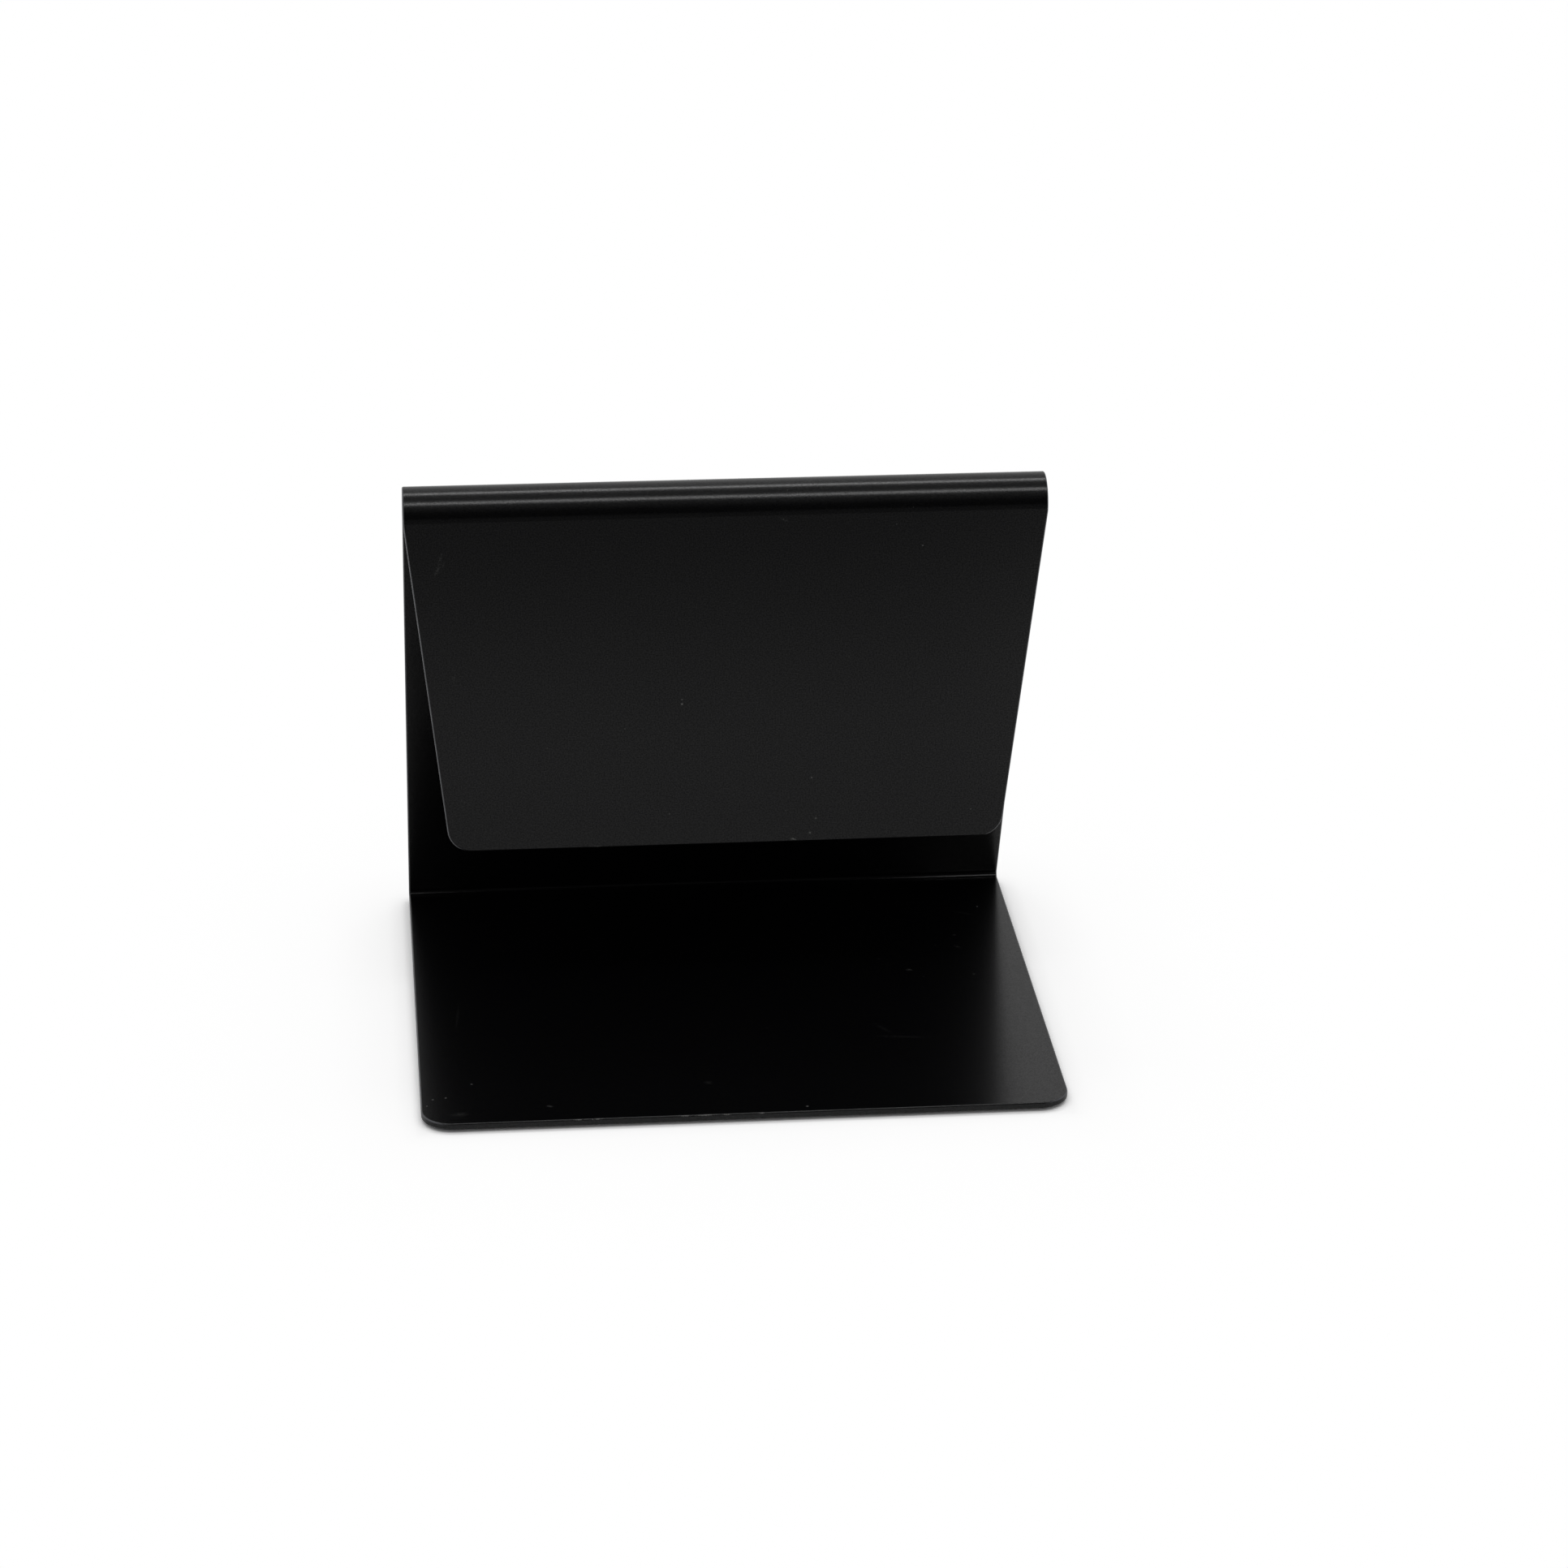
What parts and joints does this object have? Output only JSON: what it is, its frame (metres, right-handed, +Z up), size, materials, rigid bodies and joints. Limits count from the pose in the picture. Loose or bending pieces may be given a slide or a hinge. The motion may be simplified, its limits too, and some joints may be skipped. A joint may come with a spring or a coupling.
{
  "type": "magnetic separation rack",
  "caption": "Folded sheet stand on four thin pads: flat base plate, forward-leaning back plate, rolled top and a hanging flat flap that magnetic separator blocks cling to.",
  "frame": {"origin": "middle of the stand's footprint, on the bench", "axes": "+Z up, -Y towards the user, which the flap's face looks at, +X to the user's right"},
  "size_m": [0.21, 0.181, 0.185],
  "materials": {
    "stand": "satin black powder coat",
    "pads": "matt black rubber"
  },
  "bodies": {
    "root": {"stand": "stand", "front_left_pad": "pads", "front_right_pad": "pads", "rear_left_pad": "pads", "rear_right_pad": "pads"}
  },
  "joints": []
}
